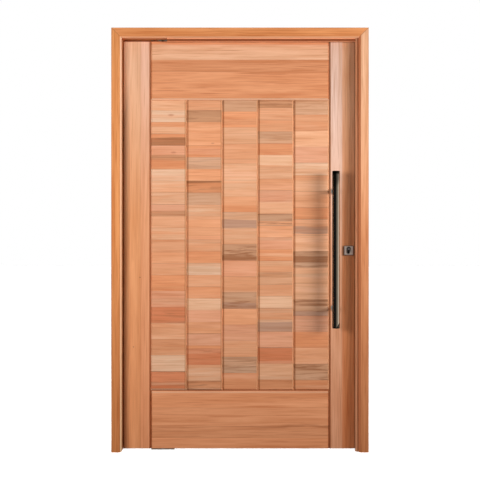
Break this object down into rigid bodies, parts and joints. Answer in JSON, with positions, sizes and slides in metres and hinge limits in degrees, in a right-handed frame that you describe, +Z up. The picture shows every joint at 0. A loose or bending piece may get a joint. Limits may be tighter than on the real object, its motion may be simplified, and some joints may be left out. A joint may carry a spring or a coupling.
{
  "type": "pivot entry door",
  "caption": "Wide solid wood pivot entry door in its mitred frame, with coffered board columns, long pull handles and a cylinder lock.",
  "frame": {"origin": "outer face of the pivot side jamb, at floor level and mid depth of the frame", "axes": "+X along the door's width towards the lock side, -Y towards the outside (front), +Z up"},
  "size_m": [1.314, 0.2078, 2.168],
  "materials": {
    "frame_wood": "satin clear coat, vertical grain",
    "leaf_wood": "satin clear coat",
    "panel_wood": "satin clear coat, mixed tones",
    "satin_steel": "satin",
    "polished_steel": "polished",
    "rose_metal": "satin",
    "cylinder_metal": "nickel plated"
  },
  "bodies": {
    "frame": {"pivot_side_jamb": "frame_wood", "lock_side_jamb": "frame_wood", "head_jamb": "frame_wood", "pivot_side_stop": "frame_wood", "lock_side_stop": "frame_wood", "head_stop_front": "frame_wood", "head_stop_back": "frame_wood", "strike_plate": "satin_steel", "head_pivot_plate": "satin_steel", "floor_pivot_plate": "satin_steel"},
    "leaf": {"pivot_side_stile": "leaf_wood", "lock_side_stile": "leaf_wood", "top_rail": "leaf_wood", "bottom_rail": "leaf_wood", "panel_column_1": "panel_wood", "panel_column_2": "panel_wood", "panel_column_3": "panel_wood", "panel_column_4": "panel_wood", "panel_column_5": "panel_wood", "top_pivot_socket": "satin_steel", "bottom_pivot_shoe": "satin_steel", "lock_faceplate": "satin_steel", "latch_roller": "satin_steel", "deadbolt": "satin_steel", "lock_case": "satin_steel", "outer_lock_rose": "rose_metal", "inner_lock_rose": "rose_metal", "lock_cylinder": "cylinder_metal", "inner_key_plug": "cylinder_metal", "outer_pull_tube": "polished_steel", "outer_pull_caps": "polished_steel", "outer_pull_posts": "polished_steel", "inner_pull_tube": "polished_steel", "inner_pull_caps": "polished_steel", "inner_pull_posts": "polished_steel", "pull_tie_bolts": "satin_steel"},
    "key_plug": {"outer_key_plug": "cylinder_metal"}
  },
  "joints": [
    {"name": "leaf_swing", "type": "hinge", "parent": "frame", "child": "leaf", "pos_m": [0.257, 0, 0], "axis": [0, 0, 1], "range_deg": [0, 90]},
    {"name": "key_plug_turn", "type": "hinge", "parent": "leaf", "child": "key_plug", "pos_m": [1.217, 0, 1.038], "axis": [0, 1, 0], "continuous": true}
  ]
}
